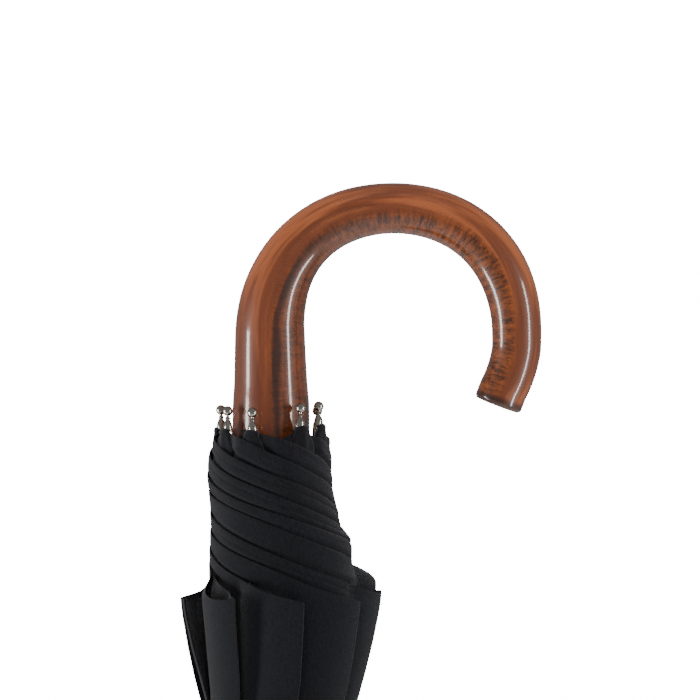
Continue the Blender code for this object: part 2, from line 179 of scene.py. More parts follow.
class Paint:
    """A material and the few node calls that its pattern needs."""

    def __init__(self, name, sockets=()):
        self.material = bpy.data.materials.new(name)
        self.material.use_nodes = True
        self.tree = self.material.node_tree
        self.shader = self.tree.nodes["Principled BSDF"]
        for socket, value in dict(sockets).items():
            self.shader.inputs[socket].default_value = value

    def node(self, kind, inputs=(), **settings):
        made = self.tree.nodes.new("ShaderNode" + kind)
        for key, value in settings.items():
            setattr(made, key, value)
        for key, value in dict(inputs).items():
            self.feed(made.inputs[key], value)
        return made

    def feed(self, socket, value):
        if isinstance(value, bpy.types.NodeSocket):
            self.tree.links.new(value, socket)
        else:
            socket.default_value = value

    def attribute(self, name):
        return self.node("Attribute", attribute_name=name).outputs["Vector"]

    def place(self):
        return self.node("TexCoord").outputs["Object"]

    def stretch(self, vector, scale, offset=(0, 0, 0)):
        made = self.node("Mapping", {"Vector": vector, "Scale": scale, "Location": offset})
        return made.outputs["Vector"]

    def noise(self, vector, scale=1.0, detail=3.0, roughness=0.55, distortion=0.0):
        inputs = {"Vector": vector, "Scale": scale, "Detail": detail, "Roughness": roughness}
        made = self.node("TexNoise", {**inputs, "Distortion": distortion})
        return made.outputs["Fac"]

    def maths(self, operation, a, b=0.0):
        made = self.node("Math", {0: a, 1: b}, operation=operation)
        return made.outputs[0]

    def span(self, value, low, high, to_low=0.0, to_high=1.0):
        """The value mapped from low..high to to_low..to_high with soft ends."""
        inputs = {"Value": value, "From Min": low, "From Max": high}
        inputs.update({"To Min": to_low, "To Max": to_high})
        made = self.node("MapRange", inputs, interpolation_type="SMOOTHSTEP")
        return made.outputs["Result"]

    def mix(self, share, a, b, blend="MIX"):
        made = self.node("Mix", {0: share, 6: a, 7: b}, data_type="RGBA", blend_type=blend)
        return made.outputs[2]

    def colour(self, value):
        self.feed(self.shader.inputs["Base Color"], value)

    def roughness(self, value):
        self.feed(self.shader.inputs["Roughness"], value)

    def bump(self, height, distance, strength=1.0):
        made = self.node("Bump", {"Height": height, "Distance": distance, "Strength": strength})
        self.feed(self.shader.inputs["Normal"], made.outputs["Normal"])


def wood():
    """Bent, stained and lacquered hardwood. grain_mm is outwards, sideways and along the bend."""
    paint = Paint("wood", {"Coat Weight": 1.0, "Coat Roughness": 0.11, "Specular IOR Level": 0.4})
    grain = paint.attribute("grain_mm")
    axes = paint.node("SeparateXYZ", {0: grain}).outputs
    out, along = axes[0], axes[2]
    broad = paint.noise(paint.stretch(grain, (0.14, 0.14, 0.015)), detail=4, distortion=0.4)
    streaks = paint.noise(paint.stretch(grain, (0.42, 0.42, 0.034)), detail=4, roughness=0.5)
    pores = paint.noise(paint.stretch(grain, (3.4, 3.4, 0.28)), detail=3, roughness=0.6)
    curl = paint.noise(paint.stretch(grain, (0.13, 0.13, 0.5)), detail=5, roughness=0.7)
    bars = paint.noise(paint.stretch(grain, (0.5, 0.5, 1.5), (7, 3, 11)), detail=4, roughness=0.75)
    light = paint.mix(paint.span(broad, 0.40, 0.60), linear(170, 92, 51), linear(116, 58, 29))
    light = paint.mix(paint.span(streaks, 0.46, 0.7, 0, 0.5), light, linear(92, 45, 21))
    shank = paint.span(along, 100, 34, 0, 0.8)
    light = paint.mix(shank, light, linear(98, 45, 18))
    figure = paint.maths("ADD", paint.maths("MULTIPLY", curl, 0.55), paint.maths("MULTIPLY", bars, 0.45))
    inner = paint.mix(paint.span(figure, 0.38, 0.62), linear(52, 27, 13), linear(162, 82, 32))
    late = paint.span(along, 90, 190, 0.35, 0.85)
    calm = paint.mix(paint.span(streaks, 0.4, 0.62), linear(112, 55, 24), linear(70, 34, 15))
    inner = paint.mix(late, calm, inner)
    edge = paint.maths("ADD", out, paint.span(broad, 0.3, 0.7, -1.6, 1.6))
    inside = paint.span(edge, 1.2, -2.4)
    body = paint.mix(inside, light, inner)
    centre = paint.maths("ABSOLUTE", paint.maths("ADD", edge, 3.4))
    stripe = paint.maths("MULTIPLY", paint.span(centre, 2.6, 0.6), paint.span(along, 150, 60, 0.2, 0.85))
    body = paint.mix(stripe, body, linear(46, 27, 22))
    body = paint.mix(paint.span(pores, 0.55, 0.75, 0, 0.35), body, linear(70, 34, 16))
    rim = paint.span(along, END_AT - 3.2, END_AT - 0.8, 0, 0.8)
    paint.colour(paint.mix(rim, body, linear(40, 22, 14)))
    paint.roughness(paint.span(pores, 0.3, 0.8, 0.38, 0.52))
    paint.bump(pores, 0.00004, 0.4)
    return paint.material


def cloth(name="cloth", lift=1.0):
    """Close black weave. thread_mm is across and along the cut cloth."""
    paint = Paint(name, {"Sheen Weight": 0.15, "Sheen Roughness": 0.5, "Specular IOR Level": 0.12})
    thread = paint.attribute("thread_mm")
    wave = {"Vector": thread, "Scale": 1.1, "Distortion": 0.6}
    warp = paint.node("TexWave", wave, bands_direction="X").outputs["Fac"]
    weft = paint.node("TexWave", wave, bands_direction="Y").outputs["Fac"]
    slub = paint.noise(paint.stretch(thread, (0.9, 0.35, 1.0)), detail=4, roughness=0.75)
    speck = paint.noise(thread, scale=1.7, detail=2, roughness=0.7)
    wear = paint.noise(paint.stretch(thread, (0.03, 0.02, 1.0)), detail=3)
    weave = paint.maths("MULTIPLY", warp, weft)
    tone = paint.maths("ADD", paint.maths("MULTIPLY", slub, 0.55), paint.maths("MULTIPLY", speck, 0.45))
    dark, pale = linear(6, 6, 9), linear(34, 34, 40)
    body = paint.mix(paint.span(tone, 0.32, 0.68), dark, pale)
    body = paint.mix(paint.span(wear, 0.35, 0.7, 0, 0.35), body, linear(14, 14, 16))
    paint.colour(paint.mix(1.0, body, (lift, lift, lift, 1.0), "MULTIPLY"))
    paint.roughness(paint.span(tone, 0.3, 0.7, 0.72, 0.9))
    paint.bump(paint.maths("ADD", weave, tone), 0.00012, 0.5)
    return paint.material


SCRATCH_DEPTH = 0.0005 * 0.02


def metal(name, tint, rough):
    paint = Paint(name, {"Metallic": 1.0})
    place = paint.place()
    cloud = paint.noise(place, scale=420, detail=4)
    fine = paint.noise(paint.stretch(place, (2600, 2600, 260)), detail=2)
    darker = [v * 0.9 for v in tint]
    paint.colour(paint.mix(paint.span(cloud, 0.35, 0.75), linear(*tint), linear(*darker)))
    paint.roughness(paint.span(cloud, 0.3, 0.8, rough, rough + 0.08))
    paint.bump(fine, SCRATCH_DEPTH, 0.3)
    return paint.material


def plastic(name, tone, rough):
    paint = Paint(name, {"Specular IOR Level": 0.45})
    place = paint.place()
    cloud = paint.noise(place, scale=160, detail=4)
    grain = paint.noise(place, scale=2400, detail=2)
    dark, pale = linear(tone, tone, tone + 1), linear(tone + 9, tone + 9, tone + 10)
    paint.colour(paint.mix(paint.span(cloud, 0.3, 0.7), dark, pale))
    paint.roughness(paint.span(cloud, 0.3, 0.7, rough, rough + 0.12))
    paint.bump(grain, 0.00002, 0.4)
    return paint.material


# Handle

HANDLE_FOOT = 715
FOOT_RADIUS = 14.2
CROOK_X, CROOK_Z, CROOK_REACH = 47.7, 787.3, 48.1
STUB = 6.5
STUB_LEAN = 21
RIM = 1.8
END_AT = 253
BORE = 5.3
BORE_TOP = 747
GIRTH = curve_through(
    (-28, 9.5), (0, 9.7), (30, 10.1), (60, 10.0), (90, 9.9),
    (110, 10.2), (130, 10.8), (150, 11.9), (165, 12.9), (180, 13.6),
)
SHANK = curve_through((715, 14.6), (718, 15.0), (735, 15.1), (757, 15.0), (768, 14.3), (787.3, 13.6))


def crook_line():
    """(x, z, radius) stations along the handle in millimetres."""
    line = [(-0.4 * float(smooth((z - 757) / 30)), z, float(SHANK(z)))
            for z in np.linspace(HANDLE_FOOT + 0.8, CROOK_Z - 1, 54)]
    for angle in np.arange(180, -28.1, -1.6):
        a = math.radians(angle)
        bulge = math.sin(2 * a) ** 2 if angle > 0 else 0.4 * float(smooth(-angle / 10))
        reach = CROOK_REACH + bulge
        line.append((CROOK_X + reach * math.cos(a), CROOK_Z + reach * math.sin(a), float(GIRTH(angle))))
    x, z, radius = line[-1]
    lean = math.radians(STUB_LEAN)
    ends = [(step, radius) for step in np.linspace(0.8, STUB - RIM, 5)]
    for turn in range(15, 91, 15):
        a = math.radians(turn)
        ends.append((STUB - RIM + RIM * math.sin(a), radius - RIM * (1 - math.cos(a))))
    ends += [(STUB + 0.15, radius * 0.6), (STUB + 0.25, radius * 0.3)]
    line += [(x - step * math.sin(lean), z - step * math.cos(lean), r) for step, r in ends]
    return line


def make_handle():
    steps = 72
    line = crook_line()
    turn = np.radians(np.arange(steps) * 360 / steps)
    rings, grain, along = [], [], 0.0
    for z, radius in ((BORE_TOP, BORE), (HANDLE_FOOT, BORE), (HANDLE_FOOT, FOOT_RADIUS)):
        rings.append(np.stack([-radius * np.cos(turn), radius * np.sin(turn), 0 * turn + z], -1))
        grain.append(np.stack([radius * np.cos(turn), radius * np.sin(turn), 0 * turn], -1))
    for i, (x, z, radius) in enumerate(line):
        before, after = line[max(i - 1, 0)], line[min(i + 1, len(line) - 1)]
        tangent = np.array([after[0] - before[0], 0, after[1] - before[1]])
        tangent /= np.linalg.norm(tangent)
        out = np.array([-tangent[2], 0, tangent[0]])
        centre = np.array([x, 0, z])
        if i:
            along += math.dist((x, z), line[i - 1][:2])
        cos, sin = radius * np.cos(turn), radius * np.sin(turn)
        rings.append(centre + np.outer(cos, out) + np.outer(sin, [0, 1, 0]))
        grain.append(np.stack([cos, sin, 0 * turn + along], -1))
    points = np.concatenate(rings) * MM
    handle = new_object("wooden_crook", points, tube_faces(len(rings), steps))
    put_vectors(handle, "grain_mm", np.concatenate(grain))
    handle.data.materials.append(wood())
    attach(handle, "shaft")
    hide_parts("handle")


# Camera, light and floor

VIEW_WIDTH = 0.273
CAMERA_AWAY = 2.2
CAMERA_X = 0.0308
CAMERA_DROP = 0.0652
SENSOR = 36.0
LIGHTS_AIM = Vector((0.02, 0, 0.76))


def make_camera():
    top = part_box("handle")[1].z
    data = bpy.data.cameras.new("camera")
    data.sensor_width = SENSOR
    data.lens = SENSOR * CAMERA_AWAY / VIEW_WIDTH
    camera = bpy.data.objects.new("camera", data)
    camera.location = (CAMERA_X, -CAMERA_AWAY, top - CAMERA_DROP)
    camera.rotation_euler = (math.radians(90), 0, 0)
    bpy.context.scene.collection.objects.link(camera)
    bpy.context.scene.camera = camera


def make_light(name, azimuth, height, away, size, power, mirrored=True):
    data = bpy.data.lights.new(name, "AREA")
    data.shape = "RECTANGLE"
    data.size, data.size_y = size
    data.energy = power
    light = bpy.data.objects.new(name, data)
    light.location = LIGHTS_AIM + outward(azimuth) * away + Vector((0, 0, height))
    light.rotation_euler = (LIGHTS_AIM - light.location).to_track_quat("-Z", "Y").to_euler()
    light.visible_glossy = mirrored
    bpy.context.scene.collection.objects.link(light)


def make_stage():
    points = [(x, y, -0.0002) for x, y in ((-9, -9), (9, -9), (9, 9), (-9, 9))]
    floor = new_object("floor", points, [(0, 1, 2, 3)])
    paint = Paint("floor_paint", {"Roughness": 0.8})
    cloud = paint.noise(paint.place(), scale=3)
    paint.colour(paint.mix(cloud, linear(236, 236, 236), linear(242, 242, 242)))
    floor.data.materials.append(paint.material)
    make_light("left_strip", -76, -0.2, 0.9, (0.17, 0.62), 8)
    make_light("right_strip", 62, -0.1, 0.95, (0.10, 0.8), 6)
    make_light("front_box", -8, 0.45, 1.6, (0.4, 0.4), 5, mirrored=False)
    make_light("top_box", 0, 1.1, 0.3, (0.7, 0.5), 7, mirrored=False)
    make_light("back_box", 180, 0.5, 1.1, (0.8, 0.8), 4, mirrored=False)


def make_world():
    """White behind the object, and a dim fill for everything that isn't seen directly."""
    world = bpy.data.worlds.new("studio")
    bpy.context.scene.world = world
    world.use_nodes = True
    nodes, links = world.node_tree.nodes, world.node_tree.links
    seen = nodes.new("ShaderNodeBackground")
    seen.inputs["Color"].default_value = (1, 1, 1, 1)
    seen.inputs["Strength"].default_value = 16.0
    fill = nodes["Background"]
    fill.inputs["Color"].default_value = (0.95, 0.97, 1, 1)
    fill.inputs["Strength"].default_value = 0.24
    ray = nodes.new("ShaderNodeLightPath")
    choose = nodes.new("ShaderNodeMixShader")
    links.new(ray.outputs["Is Camera Ray"], choose.inputs[0])
    links.new(fill.outputs[0], choose.inputs[1])
    links.new(seen.outputs[0], choose.inputs[2])
    links.new(choose.outputs[0], nodes["World Output"].inputs["Surface"])


# Cloth: eight gores, each furled as two half gores that meet in the crease of one pleat

APEX_Z = 100.9
GORE_FOOT_Z = 105.2
CROWN_Z = 108
PIVOT_REACH = 8
FIRST_RIB = -20
TIP_Z = 749.5
CREASE_TURN = 67.5
OPEN_TILT = math.radians(71.05)
RIB_TO_HEM = 642
GORE_HEM = 577
WRAP = 417
WAIST_Z = 643
# Where the roll stops being bound in by the strap, and its radius while it is
BOUND_TOP_Z, BOUND_RADIUS = 515, 20.8
CREASE_FOOT_Z, CREASE_RISE = 101, 549
HEM_WANDER = 0.5

# Per gore: corner turned from its nominal place, corner radius, height where the hem starts,
# radius at the waist, how far behind the crease the leaf stands off, how much its outer lip droops,
# how far the corner itself is lifted, and how clearly the hem's own fold shows.
Pleat = namedtuple("Pleat", "turn corner hem waist reach droop lift fold")
PLEATS = (
    Pleat(-3, 37.8, 682.8, 30.4, 50, 0.4, 0, 0.2),
    Pleat(-3, 44.3, 681.4, 33.6, 38, 0.4, 4.2, 1.0),
    Pleat(-34, 46.0, 692.0, 33, 30, 0.4, -3.4, 0.0),
    Pleat(0, 38, 683, 31, 50, 0.6, 0, 0.2),
    Pleat(0, 38, 683, 29, 50, 1.2, 0, 1.0),
    Pleat(0, 36.8, 683.6, 25.0, 30, 2.2, 0, 1.0),
    Pleat(0, 38.8, 684.8, 30.6, 52, 3.6, 0, 0.0),
    Pleat(-4.5, 38, 683.2, 31, 50, 0.5, 0, 0.2),
)

INSIDE = curve_through(
    (APEX_Z, 10.7), (130, 11.7), (200, 13.9), (300, 16.4), (400, 18.4), (485, 19.6),
    (515, 19.6), (560, 21.0), (600, 22.2), (643, 22.9), (683, 23.4), (701, 23.2), (713, 22.8),
    (722, 23.2), (731, 24.0), (736, 23.8), (741, 23.0), (746, 22.3), (750, 21.8),
)
OUTSIDE = curve_through(
    (APEX_Z, 11.4), (130, 12.6), (200, 15), (300, 17.6), (400, 19.6), (485, 20.8), (515, 20.8),
    (560, 24.2), (600, 27.6), (643, 31), (683, 36),
)
HEAP_AZIMUTH = 95
HEAP = curve_through(
    (600, 0.6), (643, 5), (683, 9.6), (691, 9.4), (696.5, 7.8), (706.2, 7.4), (710.2, 4.6),
    (712.8, 3.4), (718.9, 2), (722, 0.9), (726, -0.3), (733, -1.1), (739, -0.7), (745, -0.2),
    (750, 0),
)
CLIMB = curve_through(
    (0, 0), (60, 11.2), (147, 26.6), (205, 35.5), (250, 42.4), (295, 49.8), (330, 56.5),
    (375, 63.6), (405, 66.3), (417, 67.5),
)


def rib_azimuth(index):
    return FIRST_RIB + SECTOR * index


def tip_ends(index):
    """(ball centre, direction) of a rib's tip, read from the frame."""
    points = np.array([v.co for v in frame["nodes"][f"rib_tip_{index + 1}"].data.vertices])
    top = points[:, 2].max()
    ball = points[points[:, 2] > top - 2.6 * MM].mean(0)
    ball[2] = top - 1.66 * MM
    foot = points[points[:, 2] < points[:, 2].min() + 0.5 * MM].mean(0)
    return ball, (ball - foot) / np.linalg.norm(ball - foot)


def tip_shift(index):
    """How far furling has pushed the rib's tip round from its nominal azimuth."""
    ball = tip_ends(index)[0]
    turned_by = math.degrees(math.atan2(ball[0], -ball[1])) - rib_azimuth(index)
    return (turned_by + 180) % 360 - 180


def heap_share(azimuth):
    """The pleats pile up on one side of the wrap."""
    return np.clip(np.cos(np.radians(azimuth - HEAP_AZIMUTH)), 0, None) ** 2


def inner_radius(azimuth, z):
    return INSIDE(z) + heap_share(azimuth) * HEAP(z)


def corner_height(index):
    return PLEATS[index].hem + PLEATS[index].lift


def wrap_length(index):
    return WRAP + PLEATS[index].turn


def crease_azimuth(index, z):
    share = np.clip((z - CREASE_FOOT_Z) / CREASE_RISE, 0, 1.0)
    return rib_azimuth(index) + SECTOR / 2 + (CREASE_TURN + PLEATS[index].turn) * share**1.55


def crease_radius(index, z):
    """The roll's own outside while it is bound, then out to the gore's waist and its corner."""
    corner, waist, height = PLEATS[index].corner, PLEATS[index].waist, corner_height(index)
    flare = (waist - BOUND_RADIUS) / (OUTSIDE(WAIST_Z) - BOUND_RADIUS)
    low = OUTSIDE(z) + (flare - 1) * np.clip(OUTSIDE(z) - BOUND_RADIUS, 0, None) * (z > BOUND_TOP_Z)
    high = waist + (corner - waist) * smooth((z - WAIST_Z + 18) / (height - WAIST_Z + 26)) * 1.05
    mixed = low + (high - low) * smooth((z - WAIST_Z + 14) / 28)
    return np.where(z < WAIST_Z - 14, low, np.minimum(mixed, corner))


def hem_height(index, behind):
    """Height of the gore's hem, this many degrees round the wrap behind its corner."""
    low, lift, length = PLEATS[index].hem, PLEATS[index].lift, wrap_length(index)
    climbed = low + (TIP_Z - low) * CLIMB(np.clip(behind, 0, length)) / CLIMB(length)
    wander = np.sin(np.radians(behind * 1.7 + 77 * index))
    wander = wander * smooth(behind / 60) * smooth((length - behind) / 60)
    return climbed + lift * (1 - smooth(behind / 25)) + HEM_WANDER * wander


def layer_gap(index, behind):
    """How far below its own hem the gore is covered by the hem of the one before it."""
    before = (index - 1) % RIBS
    back = behind - SECTOR + PLEATS[before].turn - PLEATS[index].turn
    gap = hem_height(index, behind) - hem_height(before, np.clip(back, 0, None))
    return np.clip(gap, 2.5, None)


def hem_relief(index, below, gap, covered):
    """How proud the cloth stands this far below its hem: it dips in under the layer on top."""
    share = below / gap
    fold = 0.26 * PLEATS[index].fold * np.exp(-(((below - 3.1) / 0.4) ** 2))
    return 1.0 - 0.3 * np.clip(share, 0, 1) - 1.15 * covered * smooth((share - 0.74) / 0.28) - fold


def leaf_radius(index, azimuth, z):
    """The outer leaf of a pleat: proud at its crease, hollow behind it."""
    height, reach = corner_height(index), PLEATS[index].reach
    behind = crease_azimuth(index, z) - azimuth
    inner = inner_radius(azimuth, z)
    stand = np.clip(crease_radius(index, z) - inner_radius(azimuth + behind, z), 0.6, None)
    stand = stand * (1 - smooth((z - height) / 13))
    shape = np.clip(1 - (np.abs(behind) / reach) ** 2, 0, 1)
    back = np.clip(behind, 0, WRAP)
    below = np.clip(hem_height(index, back) - z, 0, 20)
    relief = hem_relief(index, below, layer_gap(index, back), smooth((back - 42) / 10))
    edge = relief * smooth((behind - 12) / 35) * smooth((z - height + 12) / 10)
    return inner + stand * shape + edge


def half_width(reach):
    """Width of half a gore this far from the apex, cut flat."""
    return (PIVOT_REACH + reach * math.sin(OPEN_TILT)) * math.sin(math.radians(SECTOR / 2))


def open_angle(share):
    mid = math.asin(math.sin(OPEN_TILT) * math.sin(math.radians(SECTOR / 2)))
    return np.arcsin(np.clip(share * math.sin(mid), -1, 1))


def gore_reach(share):
    """Distance from the crown to the hem of the cut gore, from the rib (0) to the crease (1)."""
    mid = open_angle(1.0)
    away = mid - open_angle(share)
    chord = RIB_TO_HEM * math.cos(mid) / np.cos(away)
    middle = RIB_TO_HEM * math.cos(mid)
    return chord - (middle - GORE_HEM) * (1 - (away / mid) ** 2)


HIDDEN = 0.62
FOLD_LEAN = math.radians(1.1)
# Degrees round from the gore's first rib where the inner folds of each half turn back
FOLD_SWING_A, FOLD_SWING_B = 23.8, 21.2
ROOT_TURN = 1.2
LAYERS = 14
LAYER_STEPS = 4
LEAF_STEPS = 30
MARGIN_STEPS = 3
MARGIN_A, MARGIN_B = 0.05, 0.12
BODY_ROWS = 46
HEM_ROWS = (6.0, 4.2, 3.4, 3.0, 2.6, 2.0, 1.2, 0.5, 0.0)


def furled_half(index, half):
    """(points, shares, reaches) of one half gore as rows by columns."""
    first = rib_azimuth(index)
    outer = half == "a"
    folds = np.linspace(0, 1, LAYERS * LAYER_STEPS + 1)
    leaf = np.linspace(0, 1, LEAF_STEPS + 1)[1:]
    leaf = 1 - (1 - leaf) ** 1.4
    margin = np.linspace(0, 1, MARGIN_STEPS + 1)[1:]
    spare = MARGIN_A if outer else MARGIN_B
    shares = np.concatenate([folds * HIDDEN, HIDDEN + (1 - HIDDEN) * leaf, 1 + spare * margin])
    count = len(shares)
    is_fold = np.arange(count) < len(folds)
    is_margin = shares > 1
    leaf_at = np.concatenate([0 * folds, leaf, 1 - 0.14 * margin])

    seam = first if outer else first + SECTOR
    fold_to = first + (FOLD_SWING_A if outer else FOLD_SWING_B)
    wave = np.abs(((folds * LAYERS) % 2) - 1)
    swing = np.full(count, float(seam))
    swing[:len(folds)] = seam + (fold_to - seam) * (1 - wave)
    root = seam + ROOT_TURN if outer else seam - ROOT_TURN

    corner_z = corner_height(index)
    droop = PLEATS[index].droop if outer else 0.0
    behind_top = (1 - leaf_at) * (crease_azimuth(index, np.float64(corner_z)) - root)
    leaf_hem = hem_height(index, np.clip(behind_top, 0, WRAP))
    leaf_hem = leaf_hem - droop * np.sin(np.pi * np.clip(behind_top / 40, 0, 1))
    leaf_hem = np.where(is_margin, corner_z - 1.0, leaf_hem)
    straight = CROWN_Z + gore_reach(np.clip(shares, 0, 1)) * math.cos(FOLD_LEAN)
    root_hem = leaf_hem[len(folds)]
    straight_end = straight[len(folds) - 1]
    fold_hem = straight + (root_hem - straight_end) * (shares / HIDDEN) ** 3
    hem = np.where(is_fold, fold_hem, leaf_hem)

    climb = np.linspace(0, 1, BODY_ROWS) ** 0.92
    rows = [GORE_FOOT_Z + (hem - HEM_ROWS[0] - 2 - GORE_FOOT_Z) * share for share in climb]
    rows += [hem - below for below in HEM_ROWS]
    z = np.stack([rows[0], rows[0] + 0.15, rows[0] + 0.7, *rows[1:]])
    gather = np.ones((len(z), 1))
    gather[:3, 0] = 0.9, 0.94, 0.98

    reach = np.clip(z - CROWN_Z, 0, None)
    looseness = np.clip(reach / 200, 0.02, 1)
    rib = PIVOT_REACH + reach * math.tan(RIB_LEAN)
    fold_out = np.minimum(INSIDE(z) - 0.9, 23.2)
    fold_in = np.minimum(np.maximum(rib + 1.75, 10.5), fold_out)
    depth = np.concatenate([folds, np.ones(count - len(folds))])[None, :]
    fold_r = fold_in + (fold_out - fold_in) * depth - (0.0 if outer else 0.4)
    fold_azimuth = seam + (swing[None, :] - seam) * looseness
    pushed = tip_shift(index if outer else (index + 1) % RIBS)
    nearness = 1 - np.abs(fold_azimuth - seam) / 24
    fold_azimuth = fold_azimuth + pushed * smooth((z - 560) / 190) * nearness
    crease = crease_azimuth(index, z)
    leaf_azimuth = root + (crease - root) * leaf_at[None, :]
    leaf_r = leaf_radius(index, leaf_azimuth, z)
    behind = crease - leaf_azimuth
    proud = leaf_r - inner_radius(leaf_azimuth, z)
    pinch = smooth(np.abs(behind) / 13)
    gap = 0.12 + 0.5 * np.clip(proud, 0, None) * pinch
    if not outer:
        leaf_r = leaf_r - np.where(behind > 0, gap, 0.1)
    leaf_r = leaf_r - np.where(is_margin[None, :], 0.5 * gap + 0.25, 0)
    settle = smooth(leaf_at / 0.05)[None, :]
    leaf_r = fold_out + (leaf_r - fold_out) * settle
    r = np.where(is_fold[None, :], fold_r, leaf_r) * gather
    azimuth = np.where(is_fold[None, :], fold_azimuth, leaf_azimuth)
    points = from_polar(r, azimuth, z)
    across = np.broadcast_to(shares[None, :], z.shape)
    return points, across, reach


def make_half(index, half, paint):
    grid, across, reach = furled_half(index, half)
    rows, columns = across.shape
    name = f"gore_{index + 1}_{half}"
    points = grid.reshape(-1, 3)
    piece = new_object(name, points, grid_faces(rows, columns), sharp=0)
    thread = np.stack([across * half_width(reach), reach, 0 * reach], -1).reshape(-1, 3)
    put_vectors(piece, "thread_mm", thread)
    piece.data.materials.append(paint)
    body = f"canopy_{index + 1}_{half}"
    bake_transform(piece)
    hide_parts(body)
    return piece


RIBBON_START = 70


def make_ribbon(index, paint):
    """The hem of a gore where it winds on round the wrap, as far as the next rib's tip."""
    length = wrap_length(index)
    start = RIBBON_START + PLEATS[index].turn
    behind = np.linspace(start, length, 117)
    below = np.array((
        0, 0.3, 0.9, 1.7, 2.4, 2.8, 3.1, 3.4, 3.9, 4.8, 5.6, 6.2, 6.8, 7.4, 8.0, 8.7, 9.6, 11.0,
    ))
    azimuth = crease_azimuth(index, np.float64(corner_height(index))) - behind
    hem = hem_height(index, behind)
    z = hem[None, :] - below[:, None]
    azimuth = azimuth + tip_shift((index + 1) % RIBS) * smooth((behind - 330) / 70)
    azimuth = np.broadcast_to(azimuth[None, :], z.shape)
    tucked = smooth((start + 8 - behind) / 8)[None, :] * 1.1
    last = smooth((behind - length + 40) / 18)[None, :] * 2.0
    relief = hem_relief(index, below[:, None], layer_gap(index, behind)[None, :], 1.0)
    r = inner_radius(azimuth, z) + relief - tucked - last
    curl = np.exp(-below[:, None] / 0.25) * 0.35
    points = from_polar(r - curl, azimuth, z).reshape(-1, 3)
    piece = new_object(f"hem_{index + 1}", points, grid_faces(*z.shape), sharp=0)
    arc = np.radians(behind)[None, :] * 24 + 0 * z
    put_vectors(piece, "thread_mm", np.stack([arc, 0 * z - below[:, None], 0 * z], -1).reshape(-1, 3))
    piece.data.materials.append(paint)
    rib = (index + 1) % RIBS + 1
    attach(piece, f"rib_{rib}")
    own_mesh(piece)
    return piece


def make_pocket(index, paint):
    """The small sewn pocket that the end of a rib sits in."""
    ball, _ = tip_ends(index)
    centre = math.degrees(math.atan2(ball[0], -ball[1]))
    down = np.array((0.0, 0.25, 0.6, 1.2, 2.0, 2.4, 2.8, 4, 6, 8, 10, 12))
    across = np.linspace(-1, 1, 17)
    top = ball[2] / MM - 6.6
    z = np.broadcast_to((top - down)[:, None], (len(down), len(across)))
    half = 3.3 + 3.6 * smooth(down / 9)
    width = half[:, None] * across[None, :]
    lip = np.exp(-down / 0.35)[:, None] * 0.9
    seam = 0.16 * np.exp(-((down - 2.4) / 0.3) ** 2)[:, None]
    fold = 0.25 * np.cos(across * math.pi * 2.5)[None, :] * smooth(down / 6)[:, None]
    r = 22.7 - 1.5 * np.abs(across[None, :]) ** 2.5 - lip - seam + fold
    points = from_polar(r, centre + np.degrees(width / 22.5), z - 0.9 * across[None, :] ** 2)
    piece = new_object(f"tip_pocket_{index + 1}", points.reshape(-1, 3), grid_faces(*z.shape), sharp=0)
    thread = np.stack([width, -down[:, None] + 0 * width, 0 * width], -1).reshape(-1, 3)
    put_vectors(piece, "thread_mm", thread)
    thicken(piece, 0.4)
    piece.data.materials.append(paint)
    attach(piece, f"rib_{index + 1}")
    return piece


def thicken(piece, thickness):
    step = piece.modifiers.new("thickness", "SOLIDIFY")
    step.thickness = thickness * MM
    step.offset = -1


STRAP_Z = 500
STRAP_REACH = 21.9
STUD_AZIMUTH = 2.5


def make_strap(paint):
    """The doubled, stitched band that holds the cloth furled, its end lapped over its root."""
    half = np.array((3, 6.5, 7.4, 7.7, 8.0, 8.6, 8.9, 9))
    across = np.concatenate([-half[::-1], [0], half])
    round_up = np.linspace(-14, 362, 189)
    lap = smooth((round_up - 330) / 16) * 0.75
    z = np.broadcast_to((STRAP_Z + across)[:, None], (len(across), len(round_up))).copy()
    end = smooth((round_up - 356) / 6)[None, :] * 2.2
    z -= np.sign(across)[:, None] * end * (np.abs(across)[:, None] > 7)
    stitch = 0.16 * np.exp(-((np.abs(across) - 7.7) / 0.25) ** 2)
    bulge = 0.28 * (1 - (np.abs(across) / 9) ** 6)
    ripple = 0.12 * np.sin(np.radians(round_up * 5)) + 0.10 * np.sin(np.radians(round_up * 11 + 40))
    r = STRAP_REACH + 0.55 + lap[None, :] + (bulge - stitch)[:, None] + ripple[None, :]
    azimuth = np.broadcast_to((STUD_AZIMUTH - 340 + round_up)[None, :], z.shape)
    points = from_polar(r, azimuth, z).reshape(-1, 3)
    band = new_object("strap_band", points, grid_faces(*z.shape), sharp=0)
    arc = np.radians(round_up)[None, :] * 22 + 0 * z
    put_vectors(band, "thread_mm", np.stack([arc, z - STRAP_Z, 0 * z], -1).reshape(-1, 3))
    thicken(band, 0.5)
    band.data.materials.append(paint)
    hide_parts("tie_strap")
    return band


def make_stud(finish):
    """Press stud: a rolled rim round a shallow dome with a dimple."""
    profile = [
        (0, 0.9), (0.9, 0.95), (1.3, 1.25), (2.2, 1.35), (3.2, 1.15), (3.7, 0.85), (4.0, 0.85),
        (4.5, 1.05), (4.9, 0.8), (5.0, 0.4), (4.8, 0.0),
    ]
    out = outward(STUD_AZIMUTH)
    side, up = outward(STUD_AZIMUTH + 90), Vector((0, 0, 1))
    centre = up * STRAP_Z * MM + out * (STRAP_REACH + 1.55) * MM
    steps = 48
    points = []
    for radius, height in profile:
        for i in range(steps):
            a = 2 * math.pi * i / steps
            spoke = side * math.cos(a) + up * math.sin(a)
            points.append(centre + spoke * max(radius, 0.01) * MM + out * height * MM)
    stud = new_object("press_stud", points, tube_faces(len(profile), steps), sharp=35)
    stud.data.materials.append(finish)
    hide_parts("strap_stud")
    return stud


